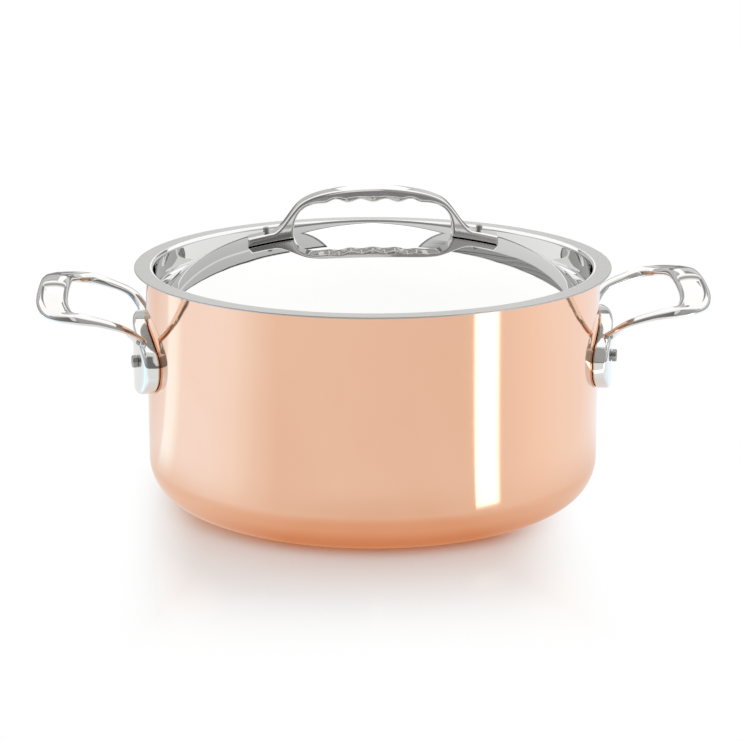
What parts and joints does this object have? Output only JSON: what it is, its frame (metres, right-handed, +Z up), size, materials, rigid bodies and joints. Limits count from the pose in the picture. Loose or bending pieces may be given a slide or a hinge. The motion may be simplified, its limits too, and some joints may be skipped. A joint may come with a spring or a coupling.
{
  "type": "covered copper casserole",
  "caption": "Round copper casserole with a steel lining, a riveted loop handle on each side and a lift-off domed steel lid with a bridge handle.",
  "frame": {"origin": "centre of the pot's base, on the surface that it stands on", "axes": "+X towards the right handle, +Z up"},
  "size_m": [0.3578, 0.256, 0.1686],
  "materials": {
    "copper": "polished copper",
    "satin_steel": "satin stainless",
    "polished_steel": "mirror-polished stainless",
    "cast_steel": "polished cast stainless",
    "rivet_steel": "turned stainless"
  },
  "bodies": {
    "pot": {"copper_shell": "copper", "steel_lining": "satin_steel", "left_handle": "cast_steel", "right_handle": "cast_steel", "left_front_rivet": "rivet_steel", "left_rear_rivet": "rivet_steel", "right_front_rivet": "rivet_steel", "right_rear_rivet": "rivet_steel"},
    "lid": {"lid": "polished_steel", "lid_handle": "cast_steel", "lid_left_rivet": "rivet_steel", "lid_right_rivet": "rivet_steel"}
  },
  "joints": [
    {"name": "lid_lift", "type": "slide", "parent": "pot", "child": "lid", "axis": [0, 0, 1], "range_m": [0, 0.15]}
  ]
}
